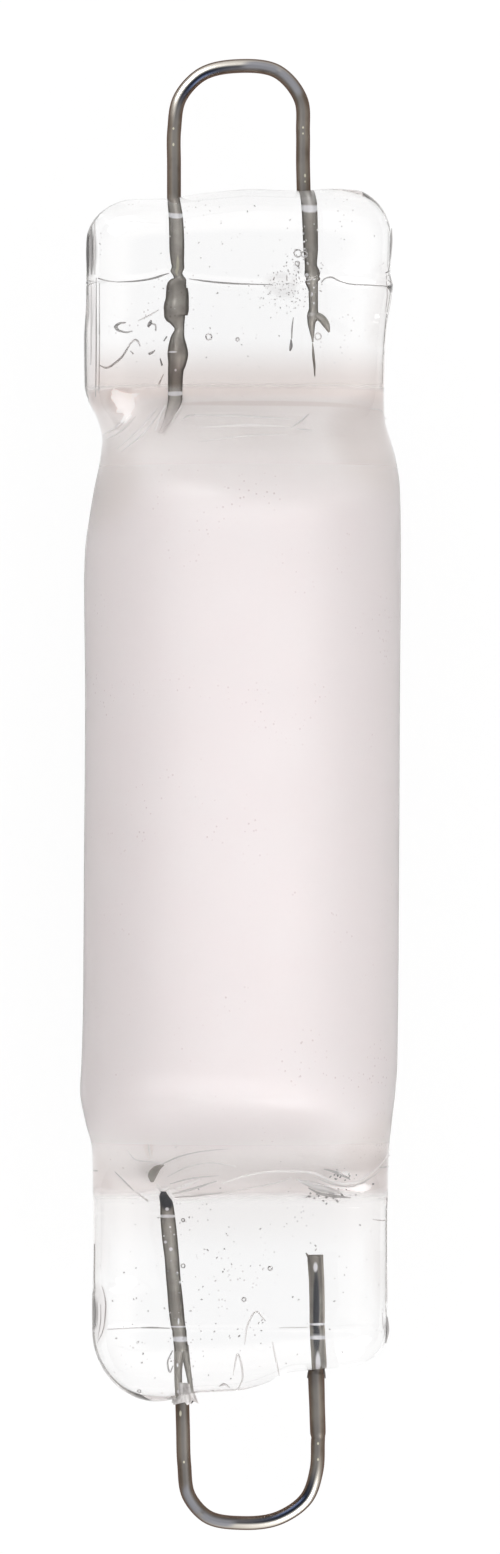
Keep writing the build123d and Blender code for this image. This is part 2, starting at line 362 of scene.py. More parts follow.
glassTube = {
    "sides": 160,
    "leftEdge": [
        (230, 86), (300, 86), (340, 84), (385, 84.5), (400, 88), (420, 97.5), (439, 102), (460, 100),
        (490, 94), (520, 89), (550, 85), (580, 84), (700, 85), (850, 84), (1000, 83), (1060, 81.5),
        (1090, 80), (1120, 85), (1150, 92), (1250, 93), (1310, 92),
    ],
    "rightEdge": [
        (230, 393), (262, 391.3), (273, 390.5), (285, 393), (300, 391.5), (320, 388), (350, 385.3),
        (400, 384), (420, 385), (440, 390.5), (460, 396), (490, 400), (545, 401), (700, 400), (900, 399),
        (1060, 397.5), (1090, 395.5), (1120, 392), (1150, 389), (1180, 388),
    ],
    "pressedHalf": 46.7,  # half thickness of the seals, in pixels
    "lipHalf": 49.5,
    "upperShoulder": (385, 505),  # rows over which the tube is drawn flat
    "lowerShoulder": (1090, 1193),
    "upperJaw": [
        (86, 281), (98, 279), (120, 284), (148, 281.5), (168, 276), (189, 281), (226, 285), (263, 287),
        (300, 286), (322, 282), (337, 285), (390, 287),
    ],
    "lowerJaw": 1331,
    "lowerJawRise": 1.2,
    "jawStep": 6,
    "folds": [  # column, row, half length, half width, tilt in degrees, height
        (260, 428, 70, 5, 1, 1.6), (330, 436, 46, 4, -4, 1.2), (140, 440, 34, 5, -42, 2.4),
        (125, 428, 30, 4, -42, -2.0), (200, 1184, 34, 7, -14, 3.5), (262, 1168, 70, 6, -3, -2.5),
        (335, 1174, 26, 6, 10, 3), (322, 1190, 30, 5, 18, 3), (160, 1178, 16, 9, -50, -3.5),
        (290, 1150, 60, 9, 3, 2),
    ],
    "sideSlants": [  # side, first row, last row, width: faces that lean in towards the top
        (-1, 224, 402, 11), (1, 228, 266, 4), (-1, 1286, 1342, 12), (1, 1314, 1342, 4),
    ],
    "slantFade": 12,
    "roundReach": 0.5523,  # how far the corners of a section reach: round, flat, and where a side leans
    "flatReach": (0.92, 0.78),
    "slantReach": (0.97, 0.92),
    "lipPower": 0.7,  # under 1 keeps the rounded ends full
    "upperLipRow": 243,
    "upperEnd": [
        (86, 201), (133, 199.5), (167, 199), (200, 194), (230, 191), (250, 189.5), (296, 191), (333, 189),
        (355, 190), (392, 193),
    ],
    "upperCorners": (47, 38),
    "lowerLipRow": 1330,
    "lowerEnd": [
        (120, 1404), (164, 1401), (195, 1393), (240, 1390), (268, 1382), (290, 1371.5), (317, 1369.3),
        (388, 1364),
    ],
    "lowerCorners": (72, 38),
    "lipRings": 26,
    "zones": [(243, 420, 118), (420, 520, 40), (520, 1060, 36), (1060, 1210, 66), (1210, 1330, 60)],
    "merge": 0.004,  # points closer than this, in pixels, become one
    "halvings": 20,  # steps in the search for the surface over a place
    "topRise": 10,  # pixels over which the painted glow and the stains of the upper side come in
    "etchedRows": [(415, 505), (1185, 1110)],
    "roughness": (0.02, 0.42),
    "clear": (1, 0.998, 0.998, 1),
    "frostGlow": (0.64, 0.545, 0.51, 1),  # painted glow, thrown by the frost into the glass beside it
    # painted glow by the sides, painted shade over a bright spot at the neck, and painted glow beyond the
    # ends of the frost
    "frostGlowSpots": [(390, 340, 30, 95), (390, 1225, 34, 95), (94, 1210, 26, 80)],
    "frostGlowShare": 0.27,
    "neckShadeSpots": [(121, 401, 17, 19)],
    "neckShadeShare": 0.6,
    "frostGlowRows": [((336, 384), (392, 385), 1.0), ((1262, 1204), (1182, 1198), 0.35)],  # comes, goes, share
    "smudges": [(284, 288, 26, 16), (300, 266, 9, 18)],
    "smudgeGrain": (1700.0, 0.4, 0.62),  # scale, then where it starts and is full
    "smudgeShare": 0.45,
    "smudged": (0.50, 0.47, 0.47, 1),
    # painted shade down the sides of the seals, grey and dark
    "greyShadedSides": [(92, 340, 7, 80), (99, 1312, 11, 36)],
    "greyShare": 0.7,
    "grey": (0.62, 0.57, 0.56, 1),
    "darkShadedSides": [(91, 252, 8, 30), (392, 246, 3, 20), (95, 1312, 4, 20), (388, 1328, 5, 16)],
    "darkShare": 0.85,
    "dark": (0.10, 0.085, 0.08, 1),
    "speckCells": 5200.0,
    "speckSize": (0.22, 0.1),
    "speckClouds": (520.0, 0.52, 0.7),
    "specked": (0.62, 0.58, 0.58, 1),
    "waveGrain": (380.0, 2.0),  # scale, detail
    "waves": (0.25, 0.00006),  # strength, depth in metres
}

tubeHalfDepth = (glassHigh.z - glassLow.z) / 2 / pixel


# Point of a cross-section that goes from a round tube (flatness 0) to a pressed slab (1)
def sectionPoint(angle, half, halfDepth, flatness, sharpness=0.0):
    reachAcross, reachThrough = (
        between(between(glassTube["roundReach"], flat, flatness), leaning, sharpness)
        for flat, leaning in zip(glassTube["flatReach"], glassTube["slantReach"])
    )
    t = math.atan2(abs(math.sin(angle)), abs(math.cos(angle))) / (math.pi / 2)
    side = half * ((1 - t) ** 3 + 3 * t * (1 - t) ** 2 + 3 * t * t * (1 - t) * reachAcross)
    rise = halfDepth * (3 * t * (1 - t) ** 2 * reachThrough + 3 * t * t * (1 - t) + t ** 3)
    return math.copysign(side, math.cos(angle)), math.copysign(rise, math.sin(angle))


def towardsEnds(row, upper, lower):  # 0 along the tube, 1 past the rows given at either end
    return 1 - smooth(*upper, row) + smooth(*lower, row)


def flatnessAt(row):
    return towardsEnds(row, glassTube["upperShoulder"], glassTube["lowerShoulder"])


def glassHalfDepth(row, column):
    half = between(tubeHalfDepth, glassTube["pressedHalf"], flatnessAt(row))
    step = glassTube["lipHalf"] - glassTube["pressedHalf"]
    upperJaw, lowerJaw = glide(column, glassTube["upperJaw"]), glassTube["lowerJaw"]
    half += step * (1 - smooth(upperJaw - glassTube["jawStep"], upperJaw, row))
    half += glassTube["lowerJawRise"] * smooth(lowerJaw - glassTube["jawStep"], lowerJaw, row)
    for foldColumn, foldRow, length, width, tilt, height in glassTube["folds"]:
        turn = math.radians(tilt)
        overX, overY = column - foldColumn, row - foldRow
        lengthwise = overX * math.cos(turn) + overY * math.sin(turn)
        sideways = overY * math.cos(turn) - overX * math.sin(turn)
        half += height * bump(lengthwise, length) * bump(sideways, width)
    return half


# How far a side leans in at a row, and how sharp its upper corner is there
def slantAt(row, side):
    slant, sharpness = 0.0, 0.0
    fade = glassTube["slantFade"]
    for towards, first, last, width in glassTube["sideSlants"]:
        if side * towards > 0:
            share = smooth(first - fade, first + fade, row) * (1 - smooth(last - fade, last + fade, row))
            slant += towards * width * share
            sharpness = max(sharpness, share)
    return slant, sharpness


# Rings from the upper end to the lower one, as (row, lip angle); lip angle 90 is the very edge
def ringRows(first, zones, last, lip):
    upper = [(first, math.radians(90 - 90 * i / lip)) for i in range(lip)]
    lower = [(last, math.radians(90 * i / lip)) for i in range(lip + 1)]
    return upper + [(between(a, b, i / count), 0.0) for a, b, count in zones for i in range(count)] + lower


glassRings = ringRows(
    glassTube["upperLipRow"], glassTube["zones"], glassTube["lowerLipRow"], glassTube["lipRings"]
)


# Column of a point of the cross-section at a row, and its height as a share of the half depth
def sectionAt(row, lipAngle, angle):
    drawnIn = 1 - math.cos(lipAngle)
    corners = glassTube["upperCorners"] if row < middleRow else glassTube["lowerCorners"]
    left = glide(row, glassTube["leftEdge"]) + corners[0] * drawnIn
    right = glide(row, glassTube["rightEdge"]) - corners[1] * drawnIn
    half = (right - left) / 2
    slant, sharpness = slantAt(row, math.cos(angle))
    side, rise = sectionPoint(angle, half, 1.0, flatnessAt(row), sharpness * math.cos(lipAngle))
    lean = slant * math.cos(lipAngle) * (abs(side) / half) ** 3 * max(rise, 0.0)
    return (left + right) / 2 + side - lean, rise


def endRow(row, column):
    return glide(column, glassTube["upperEnd"] if row < middleRow else glassTube["lowerEnd"])


def placeGlass(ring, angle):
    row, lipAngle = glassRings[ring]
    column, rise = sectionAt(row, lipAngle, angle)
    if lipAngle > 0:
        row = between(row, endRow(row, column), math.sin(lipAngle))
    depth = glassHalfDepth(row, column) * math.cos(lipAngle) ** glassTube["lipPower"]
    return spot(column, row, rise * depth)


# Height of the glass's upper surface over a place, in pixels; 0 outside the glass
def surfaceAt(row, column):
    lipRow = glassTube["upperLipRow"] if row < middleRow else glassTube["lowerLipRow"]
    share = max((row - lipRow) / (endRow(row, column) - lipRow), 0.0)
    if share >= 1:
        return 0.0
    lipAngle = math.asin(share)
    sectionRow = lipRow if share > 0 else row
    top = math.pi / 2
    edge = 0.0 if column > sectionAt(sectionRow, lipAngle, top)[0] else math.pi
    for i in range(glassTube["halvings"]):
        angle = (top + edge) / 2
        beyond = sectionAt(sectionRow, lipAngle, angle)[0] - column
        if beyond * math.cos(angle) > 0:
            edge = angle
        else:
            top = angle
    rise = sectionAt(sectionRow, lipAngle, (top + edge) / 2)[1]
    return rise * glassHalfDepth(row, column) * math.cos(lipAngle) ** glassTube["lipPower"]


glassMaterial, tree = newMaterial("clear_seal_glass")
place, x, y, z = readPlace()
topSide = stepMask(z, axisZ, axisZ + glassTube["topRise"] * pixel)
# painted glow and painted shade in the frost's colour, on the upper side only
frostGlowAndShade = [
    spotsMask(glassTube["frostGlowSpots"], glassTube["frostGlowShare"]),
    spotsMask(glassTube["neckShadeSpots"], glassTube["neckShadeShare"]),
]
for comes, goes, share in glassTube["frostGlowRows"]:
    frostGlowAndShade.append(times(rowMask(comes, goes), share))
smudges = times(
    spotsMask(glassTube["smudges"]), patchMask(place, *glassTube["smudgeGrain"]),
    topSide, glassTube["smudgeShare"],
)
cells = addNode("TexVoronoi")
setInputs(cells, Vector=place, Scale=glassTube["speckCells"])
specks = stepMask(cells.outputs["Distance"], *glassTube["speckSize"])
specks = times(specks, patchMask(place, *glassTube["speckClouds"]), topSide)
# tint of the glass: painted glow, real smudges, painted shade at the sides and real specks
tint = coated(
    glassTube, glassTube["clear"],
    (times(most(*frostGlowAndShade), topSide), "frostGlow"),
    (smudges, "smudged"),
    (spotsMask(glassTube["greyShadedSides"], glassTube["greyShare"]), "grey"),
    (spotsMask(glassTube["darkShadedSides"], glassTube["darkShare"]), "dark"),
    (specks, "specked"),
)
setSurface(
    Base_Color=tint, IOR=1.5, Transmission_Weight=1.0,
    Roughness=shared(rowMask(*glassTube["etchedRows"]), *glassTube["roughness"]),
    Normal=relief(grain(place, *glassTube["waveGrain"]), *glassTube["waves"]),
)
glassPiece = ringedTube("glass_tube", glassTube["sides"], len(glassRings), placeGlass, glassTube["merge"])
finishPiece(glassPiece, glassMaterial, "glass_envelope")


# Frost inside the tube

frostLining = {
    "sides": 96,
    "wall": 24,  # pixels of clear glass outside the frost
    "tipWall": 6,  # and at its flat tips
    "slitHalf": 1.5,
    "upperTip": 378,
    "lowerTip": 1210,
    "upperCone": (404, 522),  # rows over which it goes from a flat sheet to the round tube
    "lowerCone": (1085, 1176),
    "tipLength": 5,
    "tipCorners": (6, 4),
    "lowerTipCorners": (6, 6),
    "tipRings": 12,
    "zones": [(383, 404, 10), (404, 525, 56), (525, 1085, 30), (1085, 1205, 60)],  # rows, count of rings
    "fades": [(382, 394), (1204, 1182)],  # rows over which it thins out
    "underFades": [(396, 408), (1182, 1170)],  # the same for its underside
    "mottle": (900.0, 0.3, 0.7, 4.0),  # scale, where it starts and is full, detail
    "powderDark": (0.915, 0.855, 0.86, 1),
    "powderLight": (0.935, 0.885, 0.89, 1),
    "litShoulderRows": [(520, 450), (1110, 1145)],  # the shoulders, where the frost is painted lighter to stand in for light
    "shoulderLight": (0.99, 0.95, 0.94, 1),
    # painted shade: a dark line where the frost ends at the top, and the shaded side of a fold at the lower
    # shoulder
    "shadeLines": [(275, 416, 120, 4.5), (153, 1132, 5, 13)],  # column, row, half width, half length
    "rim": (0.90, 0.84, 0.82, 1),
    # painted light: the thin sheet at the upper end of the frost is lighter and warmer
    "litVeilRows": (412, 398),
    "litVeil": (0.985, 0.92, 0.895, 1),
    # painted shade on the frost, at the right of both shoulders and the left of the upper one
    "shadedSpots": [(384, 448, 72, 60), (104, 486, 54, 54), (388, 1140, 64, 38)],
    "shadedSpotShare": 0.85,
    "dim": (0.80, 0.74, 0.72, 1),
    "dustGrain": 9000.0,
    "dust": (0.3, 0.00002),
}

frostRings = ringRows(
    frostLining["upperTip"] + frostLining["tipLength"], frostLining["zones"],
    frostLining["lowerTip"] - frostLining["tipLength"], frostLining["tipRings"],
)


def thinnedAt(row):  # 0 in the round tube, 1 at the flat tips
    return towardsEnds(row, frostLining["upperCone"], frostLining["lowerCone"])


def placeFrost(ring, angle):
    row, tipAngle = frostRings[ring]
    upper = row < middleRow
    drawnIn = 1 - math.cos(tipAngle)
    corners = frostLining["tipCorners"] if upper else frostLining["lowerTipCorners"]
    wall = between(frostLining["wall"], frostLining["tipWall"], thinnedAt(row))
    left = glide(row, glassTube["leftEdge"]) + wall + corners[0] * drawnIn
    right = glide(row, glassTube["rightEdge"]) - wall - corners[1] * drawnIn
    end = frostLining["upperTip"] if upper else frostLining["lowerTip"]
    row = between(row, end, math.sin(tipAngle))
    full = tubeHalfDepth - frostLining["wall"]
    half = between(full, frostLining["slitHalf"], thinnedAt(row)) * math.cos(tipAngle)
    side, rise = sectionPoint(angle, (right - left) / 2, half, 0.0)
    return spot((left + right) / 2 + side, row, rise)


frostMaterial, tree = newMaterial("white_frost")
place, x, y, z = readPlace()
mottle = patchMask(place, *frostLining["mottle"])
# frost colour: mottled powder, with painted light on the shoulders and the thin upper sheet, and painted
# shade lines and spots
powderAndShading = coated(
    frostLining, blendColour(mottle, frostLining["powderDark"], frostLining["powderLight"]),
    (most(*[rowMask(rows) for rows in frostLining["litShoulderRows"]]), "shoulderLight"),
    (spotsMask(frostLining["shadeLines"]), "rim"),
    (rowMask(frostLining["litVeilRows"]), "litVeil"),
    (spotsMask(frostLining["shadedSpots"], frostLining["shadedSpotShare"]), "dim"),
)
topHalf = stepMask(z, axisZ - pixel / 2, axisZ + pixel / 2)
setSurface(
    Base_Color=powderAndShading, Roughness=0.85, Specular_IOR_Level=0.1,
    Alpha=times(rowMask(*frostLining["fades"]), most(rowMask(*frostLining["underFades"]), topHalf)),
    Normal=relief(grain(place, frostLining["dustGrain"]), *frostLining["dust"]),
)
frostPiece = ringedTube(
    "frost_lining", frostLining["sides"], len(frostRings), placeFrost, glassTube["merge"]
)
finishPiece(frostPiece, frostMaterial)


# Wire loops

wires = {
    "sides": 24,
    "half": 7,  # half of the wire's thickness, in pixels
    "step": 1.6,
    "splitSides": 16,
    "thinnest": 0.2,  # least half width of a stroke
    "merge": 0.002,
    "upperLead": [  # row, left edge, right edge
        (446, 162, 166), (430, 166, 175.5), (420, 168.5, 180), (408, 169, 183), (387, 168.5, 183),
        (371, 168.5, 184), (364, 168.5, 186.5), (355, 168, 188.5), (346, 169, 187), (339, 171, 185.3),
        (330, 175, 184.6), (321, 169.5, 185.8), (316, 164.5, 187.6), (309, 164.3, 189.2),
        (300, 166.2, 189.2), (288, 167, 188), (279, 174.2, 186.5), (272, 173.5, 185), (261, 171.2, 184.6),
        (249, 170, 184.8), (226, 169.6, 184), (205, 167.5, 181.5),
    ],
    "upperRise": [(395, 0), (412, 6), (430, 22), (446, 41)],  # row, height over the middle plane
    "upperLoop": [
        (174, 200), (174, 165), (174.2, 130), (179.5, 99), (200, 75.5), (240, 66), (278, 72), (301, 100),
        (303, 132), (303, 162), (303.6, 190),
    ],
    "upperShine": [  # column, share
        (173, 0.3), (180, 0.75), (188, 1.0), (206, 1.0), (226, 0.7), (250, 0.5), (275, 0.38), (292, 0.12),
        (302, 0.0),
    ],
    "upperShineRows": (96, 128),
    "lowerShine": [
        (188, 0.0), (200, 0.15), (214, 0.4), (240, 0.55), (262, 0.8), (285, 1.0), (306, 1.0), (313, 0.75),
        (318, 0.3),
    ],
    "lowerShineRows": (1450, 1488),
    "upperShortLead": [
        (196, 297, 311), (206, 299.5, 315), (214, 301, 316.9), (249, 302.8, 317.3), (265, 304, 316),
        (275, 303.5, 319), (281, 304, 317.3), (291, 307.4, 316.9), (309, 308, 316.9), (317, 306, 317.3),
        (323, 306.5, 314.5), (332, 308.5, 313.4), (343, 310.8, 312.4),
    ],
    "upperSplits": [  # column, row, half thickness
        [(313, 316, 4.2), (319.5, 318.5, 4.0), (324.5, 325, 3.6), (327.5, 333, 1.0)],
        [(311.5, 344, 0.5), (312.4, 358, 1.3), (313.2, 366, 1.1), (313.6, 377, 0.5)],
    ],
    "lowerLead": [
        (1191, 164, 170), (1198, 161.5, 173), (1212, 161.5, 175.4), (1235, 163, 178), (1258, 165.7, 180),
        (1281, 167.3, 181.6), (1305, 169, 184), (1325, 171.5, 185.8), (1339, 173.8, 187.6),
        (1348, 174.7, 188.8),
    ],
    "lowerSplits": [
        [(180, 1343, 5.5), (177.8, 1366, 3.8), (176.3, 1394, 4)],
        [(184.5, 1343, 4.5), (188.4, 1368, 2.9), (191.6, 1394, 2.6)],
        [(309.5, 1378, 2.6), (309.3, 1373, 1.8), (309, 1369, 0.4)],
        [(316, 1378, 2.4), (316.4, 1374, 1.6), (316.8, 1371, 0.4)],
        [(323, 1378, 2.8), (323.6, 1373, 1.8), (324.2, 1368.5, 0.4)],
        [(311, 1259, 2), (308, 1256, 1.6), (305, 1252, 0.4)],
    ],
    "leaf": [(165, 1153, 1), (157.5, 1158, 3.8), (152.5, 1166, 4.2), (151.5, 1175, 1.6)],
    "leafRise": [(1153, 40), (1160, 32), (1175, 16)],
    "lowerLoop": [
        (182, 1392), (183, 1428), (184.2, 1464), (189, 1496), (206, 1515.8), (242, 1523), (280, 1517.5),
        (307, 1497.5), (316.5, 1470), (318, 1440),
    ],
    "lowerShortLead": [
        (1438, 311.3, 325), (1433, 310.2, 325.7), (1406, 309.2, 325), (1373, 308, 324.4),
        (1369, 311.5, 323.5), (1351, 310.4, 325), (1327, 309, 323.8), (1281, 308, 323), (1254, 306.5, 322),
    ],
}


# Points of a lead from its measured edges: (column, row, half width, height)
def leadPoints(edges, rises=None):
    forwards = edges[0][0] < edges[-1][0]
    ordered = edges if forwards else edges[::-1]
    lefts = [(row, left) for row, left, right in ordered]
    rights = [(row, right) for row, left, right in ordered]
    first, last = ordered[0][0], ordered[-1][0]
    count = max(round((last - first) / wires["step"]), 2)
    points = []
    for i in range(count + 1):
        row = first + (last - first) * i / count
        left, right = glide(row, lefts), glide(row, rights)
        height = glide(row, rises) if rises else 0.0
        points.append(Vector(((left + right) / 2, row, (right - left) / 2, height)))
    return points if forwards else points[::-1]


def loopPoints(corners):
    return [Vector((point.x, point.y, wires["half"], 0.0)) for point in smoothRoute(corners, wires["step"])]


# How much painted highlight and polish a place on the loops gets: most on one bend of each, less along the
# crown
def shineAt(point):
    if point.y < middleRow:
        return glide(point.x, wires["upperShine"]) * (1 - smooth(*wires["upperShineRows"], point.y))
    return glide(point.x, wires["lowerShine"]) * smooth(*wires["lowerShineRows"], point.y)


# A round tube along (column, row, half width, height) points, closed at both ends
def tubeAlong(name, sides, points, inner=0):
    last = len(points) - 1

    def place(ring, angle):
        ahead = points[min(ring + 1, last)] - points[max(ring - 1, 0)]
        sideways = Vector((-ahead.y, ahead.x)).normalized()
        column, row, half, height = points[ring]
        swing = half * math.cos(angle)
        return spot(column + sideways.x * swing, row + sideways.y * swing, height + half * math.sin(angle))

    marks = ()
    if inner:
        marks = (
            ("wireSide", lambda ring, angle: math.cos(angle) * inner),  # 1 faces into the loop
            ("wireShine", lambda ring, angle: shineAt(points[ring])),
        )
    return ringedTube(name, sides, len(points), place, wires["merge"], marks)


# A thin tapered tube through (column, row, half width) stations; height(row, column) sets how high it lies
def thinStroke(name, stations, height, sides):
    points = []
    for column, row, half in smoothRoute(stations, wires["step"]):
        points.append(Vector((column, row, max(half, wires["thinnest"]), height(row, column))))
    return tubeAlong(name, sides, points)


loopMetal = {
    "drawnDark": (0.125, 0.10, 0.08, 1),
    "drawnLight": (0.20, 0.17, 0.14, 1),
    # painted sheen along the middle of the bare wire, and on its two dull bends
    "drawnSheen": (0.175, 0.175, 0.175, 1),
    "bendSheen": (0.24, 0.24, 0.26, 1),
    # painted shade along the sides of the bare wire
    "edgeShade": (0.125, 0.08, 0.06, 1),
    "sealedDark": (0.29, 0.27, 0.245, 1),
    "sealedLight": (0.44, 0.42, 0.385, 1),
    # painted shade along the sides of the wire inside the glass
    "sealedEdgeShade": (0.12, 0.11, 0.095, 1),
    # column, row, half width, half length
    # dull bends that get a painted sheen
    "dullBends": [(290, 82, 20, 20), (262, 68, 24, 12), (192, 1500, 16, 20), (216, 1520, 24, 12)],
    # painted highlights across the leads where the glass throws light on them
    "highlightBands": [
        (176, 223.5, 14, 2.3), (173, 353, 5, 1.2), (309, 216, 14, 3.7), (168, 1215.2, 14, 2),
        (176, 400, 14, 4.2), (179, 1326, 14, 1.5), (181, 1337.5, 14, 2.8), (316, 1323.5, 14, 1.5),
        (317, 1335, 14, 1.7),
    ],
    # painted grey highlights on the leads
    "greyHighlightBands": [(308, 206, 14, 9), (310, 315, 6, 2.2)],
    # painted highlight dots, from bubbles over the leads and a bright tip
    "highlightDots": [
        (176, 371, 1.3, 1.6), (303, 236, 1, 1.2), (303.5, 243, 1.3, 1.3), (304, 250, 1.1, 1.2),
        (304.5, 256.5, 1.1, 1.1), (306, 275.5, 2.2, 1.6), (312, 276.5, 1.6, 1.6), (308, 284, 1.6, 1.5),
        (313, 288.5, 1.1, 1.3), (311, 295, 1.2, 2.2), (313, 304, 1, 1.6), (168, 1208, 2.2, 2.2),
        (171, 1226, 1.3, 1.3), (175, 1233.5, 1.1, 1.1), (165, 1235, 1.1, 1.1), (166.5, 1241, 1.9, 1.9),
        (171.7, 1248, 2.3, 2.3), (178, 1272, 1.3, 1.8), (180.7, 1281.5, 1.4, 2), (179, 1320, 1.1, 4),
        (177.5, 1360, 1.2, 2), (177, 1382.5, 2.4, 2.4), (314.5, 1266, 2.6, 6), (317, 1353, 3, 10),
    ],
    "glints": [
        (178.3, 266, 1.7, 11), (173.5, 129, 1.2, 1.5), (173.5, 145, 1.2, 2), (303, 128, 1.1, 1.4),
        (303, 134, 1.0, 1.2), (305, 176, 1.2, 2.2), (305, 182, 1, 1.3), (180.5, 1413, 1.4, 3.5),
        (184, 1461.5, 1.3, 1.5), (318, 1459, 1.2, 1.6), (318, 1443, 1.2, 1.6),
    ],
    # the dark end of the long lower lead, and a painted dark reflection down the middle of the short one
    "darkTipsAndReflection": [(168, 1198, 9, 14), (315.3, 1308, 4, 52), (315.8, 1335, 4, 14)],
    # painted pale reflections on the edges of the short lower lead
    "reflectedEdges": [(315.5, 1308, 22, 72)],
    # place across the wire, from -1 outside the loop to 1 inside it, and half width
    # bands across the wire: painted sheen in the middle, painted highlight, painted dark reflection, and the
    # dull bends' painted sheen
    "middleBand": (0.1, 0.6),
    "middleShare": 0.6,
    "shineBand": (-0.38, 0.5),
    "shadeBand": (0.34, 0.45),
    "dullBand": (-0.15, 0.7),
    # where the painted shade along the sides comes in
    "edges": (0.62, 0.95),
    "sealRows": (193, 205),  # where the wires go into the glass, above and below alike
    "bareColumns": (270, 285),  # the short lower lead comes out further up
    "bareRows": (1362, 1369),
    "frostedRows": [(398, 452), (700, 600)],
    "greyShare": 0.7,
    "metallic": 0.6,
    "roughness": (0.46, 0.24),  # plain, shiny
    "patches": (1100.0, 0.35, 0.65),
    "scratchGrain": 2600.0,
    "scratches": (0.3, 0.00002),
    "specularTint": (0.4, 0.34, 0.31, 1),
    # colours of the painted edge reflection, highlight bands, grey highlights, glints, and the bends'
    # highlight and dark blue reflection
    "reflectedEdgeColour": (0.50, 0.46, 0.41, 1),
    "highlightColour": (0.84, 0.84, 0.87, 1),
    "greyColour": (0.55, 0.54, 0.53, 1),
    "glintColour": (0.46, 0.44, 0.35, 1),
    "shineColour": (0.84, 0.80, 0.73, 1),
    "shadeColour": (0.02, 0.026, 0.045, 1),
    "darkColour": (0.075, 0.077, 0.085, 1),
    "frostColour": (0.88, 0.83, 0.82, 1),
}

metalMaterial, tree = newMaterial("loop_metal")
place, x, y, z = readPlace()
side, shiny = readMark("wireSide"), readMark("wireShine")
patches = patchMask(place, *loopMetal["patches"])
edges = stepMask(combine("ABSOLUTE", side), *loopMetal["edges"])
# outside the glass; two bends catch the light, with a painted highlight outside and a painted dark blue
# reflection towards the inside, a painted sheen along the middle and painted shade along the sides
drawn = coated(
    loopMetal, blendColour(patches, loopMetal["drawnDark"], loopMetal["drawnLight"]),
    (times(bandMask(side, *loopMetal["middleBand"]), loopMetal["middleShare"]), "drawnSheen"),
    (edges, "edgeShade"),
    (times(shiny, bandMask(side, *loopMetal["shineBand"])), "shineColour"),
    (times(shiny, bandMask(side, *loopMetal["shadeBand"])), "shadeColour"),
    (times(spotsMask(loopMetal["dullBends"]), bandMask(side, *loopMetal["dullBand"])), "bendSheen"),
)
# inside it, the same metal painted lighter and greyer as a painted reflection of what it sees through the
# glass, with painted shade along the sides
sealed = blendColour(patches, loopMetal["sealedDark"], loopMetal["sealedLight"])
sealedEdgeShade = blendColour(spotsMask(loopMetal["reflectedEdges"]), loopMetal["sealedEdgeShade"], loopMetal["reflectedEdgeColour"])
sealed = blendColour(edges, sealed, sealedEdgeShade)
bareLeg = times(
    stepMask(x, *[across(column) for column in loopMetal["bareColumns"]]), rowMask(loopMetal["bareRows"])
)
inGlass = stepMask(combine("ABSOLUTE", y), *[along(row) for row in loopMetal["sealRows"]])
inGlass = times(inGlass, combine("SUBTRACT", 1.0, bareLeg))
glints = spotsMask(loopMetal["glints"])
highlightBands = spotsMask(loopMetal["highlightBands"] + loopMetal["highlightDots"])
frosted = rowMask(*loopMetal["frostedRows"])
# painted on top: a dark reflection down the short lower lead with the dark end of the long one, grey
# highlights, glints, highlight bands and dots, then the frost where it covers the leads
colour = coated(
    loopMetal, blendColour(inGlass, drawn, sealed),
    (spotsMask(loopMetal["darkTipsAndReflection"]), "darkColour"),
    (spotsMask(loopMetal["greyHighlightBands"], loopMetal["greyShare"]), "greyColour"),
    (glints, "glintColour"),
    (highlightBands, "highlightColour"),
    (frosted, "frostColour"),
)
setSurface(
    Base_Color=colour, Specular_Tint=loopMetal["specularTint"], Specular_IOR_Level=0.25,
    Metallic=most(shared(most(highlightBands, frosted, glints), loopMetal["metallic"], 0.0), shiny),
    Roughness=shared(shiny, *loopMetal["roughness"]),
    Normal=relief(grain(place, loopMetal["scratchGrain"]), *loopMetal["scratches"]),
)


def splinters(name, lines):
    return [thinStroke(name, line, lambda row, column: 0.0, wires["splitSides"]) for line in lines]


upperPoints = leadPoints(wires["upperLead"], wires["upperRise"])
upperPoints += loopPoints(wires["upperLoop"]) + leadPoints(wires["upperShortLead"])
upperWire = tubeAlong("upper_wire", wires["sides"], upperPoints, 1)
joinInto(upperWire, splinters("upper_split", wires["upperSplits"]))
finishPiece(upperWire, metalMaterial, "upper_loop")

lowerWire = tubeAlong("lower_wire", wires["sides"], leadPoints(wires["lowerLead"]), -1)
lowerPoints = loopPoints(wires["lowerLoop"]) + leadPoints(wires["lowerShortLead"])
lowerBow = tubeAlong("lower_bow", wires["sides"], lowerPoints, -1)
leaf = thinStroke(
    "lower_leaf", wires["leaf"], lambda row, column: glide(row, wires["leafRise"]), wires["splitSides"]
)
joinInto(lowerWire, [lowerBow, leaf] + splinters("lower_split", wires["lowerSplits"]))
finishPiece(lowerWire, metalMaterial, "lower_loop")


# Ragged skirt of glass where the lower wire comes out

collar = {
    "sides": 40,
    "rings": 16,
    "top": (182.5, 1375, 7.2),  # column, row, half width
    "bottom": (185, 1402, 13.2),
    "flare": 1.7,
    "tears": [(5, 1, 1), (11, 0, 0.6), (17, 2, 0.5)],  # count round the rim, shift, share
    "tearDepth": 1.6,  # pixels
    "tearSpread": 0.05,
    "thickness": 0.8,  # depth as a share of the width
    "streakScale": (1, 0.16, 1),
    "streaks": (9000.0, 0.35, 0.65),
    "streakDark": (0.50, 0.47, 0.46, 1),
    "streakLight": (0.86, 0.84, 0.83, 1),
    "ridges": (0.5, 0.00004),
}


